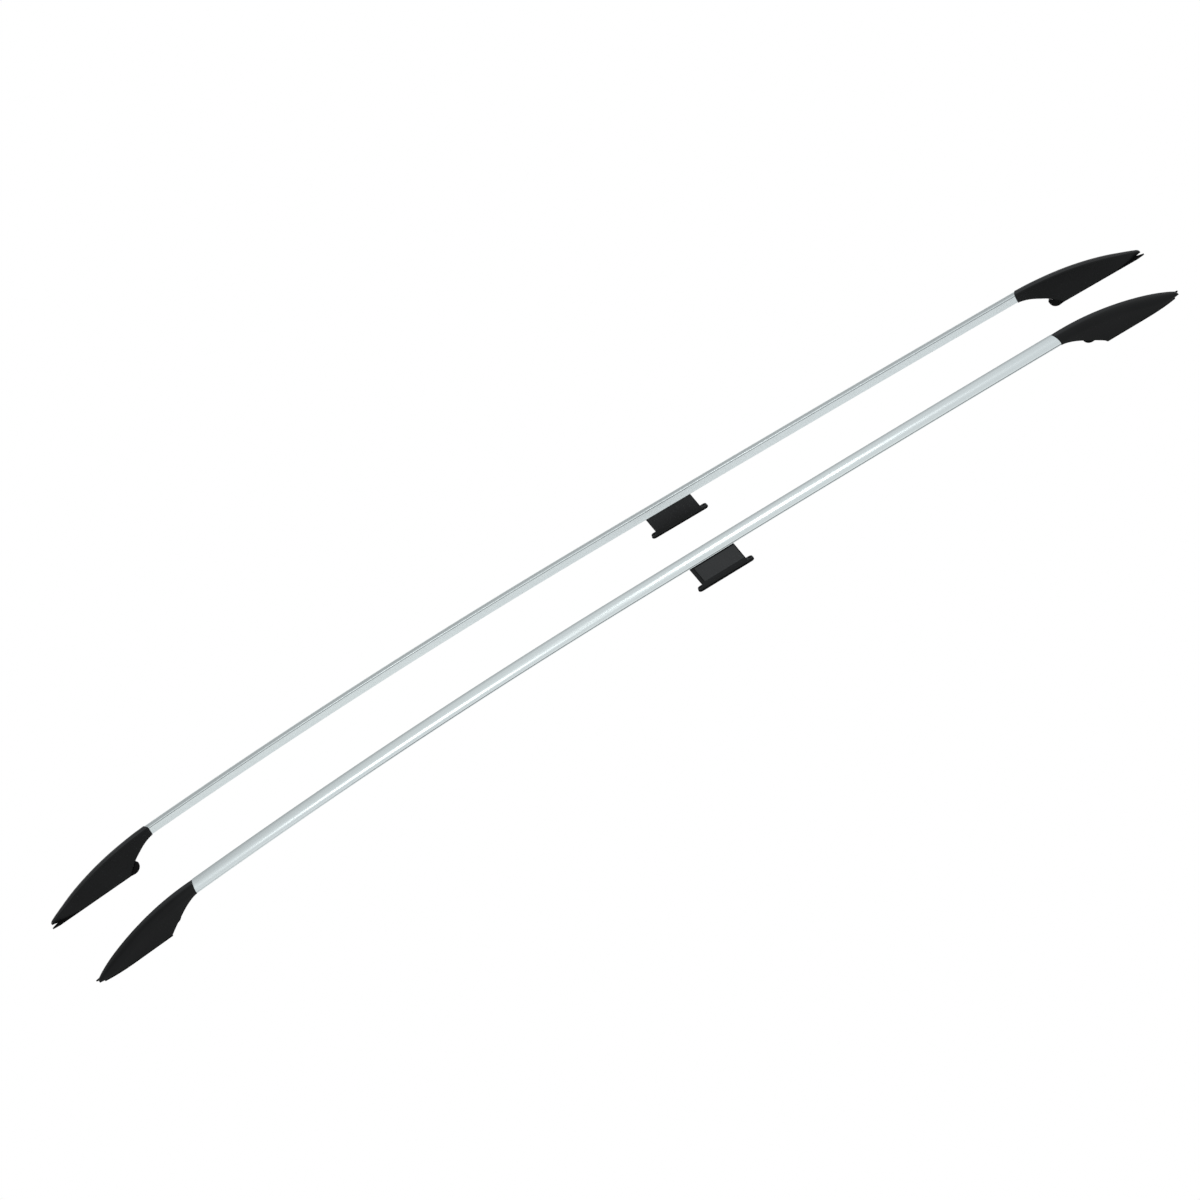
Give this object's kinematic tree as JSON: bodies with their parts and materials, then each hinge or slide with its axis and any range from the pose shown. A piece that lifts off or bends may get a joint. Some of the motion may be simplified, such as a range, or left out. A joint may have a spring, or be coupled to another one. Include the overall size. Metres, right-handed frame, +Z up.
{
  "type": "roof side rail pair",
  "caption": "Mirrored pair of bent hollow roof side rails, each on two swept end feet under black caps and one middle support with a narrow foot.",
  "frame": {"origin": "under the middle of the pair, on the level surface that the four tips of the end feet stand on", "axes": "+X along the rails to the front of the vehicle, +Y across to the left rail, +Z up"},
  "size_m": [2.4163, 0.3066, 0.0999],
  "materials": {
    "anodised": "satin anodised, brushed along the bar",
    "cast_metal": "die cast, as cast",
    "cap_plastic": "fine grained, satin",
    "cover_plastic": "smooth satin",
    "gasket_rubber": "matt moulded rubber",
    "zinc_steel": "zinc plated"
  },
  "bodies": {
    "root": {"right_rail_bar": "anodised", "right_rear_bracket": "cast_metal", "right_front_bracket": "cast_metal", "right_rear_cap": "cap_plastic", "right_front_cap": "cap_plastic", "right_rear_gasket": "gasket_rubber", "right_front_gasket": "gasket_rubber", "right_rear_inserts": "zinc_steel", "right_front_inserts": "zinc_steel", "right_rear_bar_screws": "zinc_steel", "right_front_bar_screws": "zinc_steel", "right_centre_support": "cap_plastic", "right_centre_cover": "cover_plastic", "right_centre_gasket": "gasket_rubber", "right_centre_screws": "zinc_steel", "left_rail_bar": "anodised", "left_rear_bracket": "cast_metal", "left_front_bracket": "cast_metal", "left_rear_cap": "cap_plastic", "left_front_cap": "cap_plastic", "left_rear_gasket": "gasket_rubber", "left_front_gasket": "gasket_rubber", "left_rear_inserts": "zinc_steel", "left_front_inserts": "zinc_steel", "left_rear_bar_screws": "zinc_steel", "left_front_bar_screws": "zinc_steel", "left_centre_support": "cap_plastic", "left_centre_cover": "cover_plastic", "left_centre_gasket": "gasket_rubber", "left_centre_screws": "zinc_steel"}
  },
  "joints": []
}
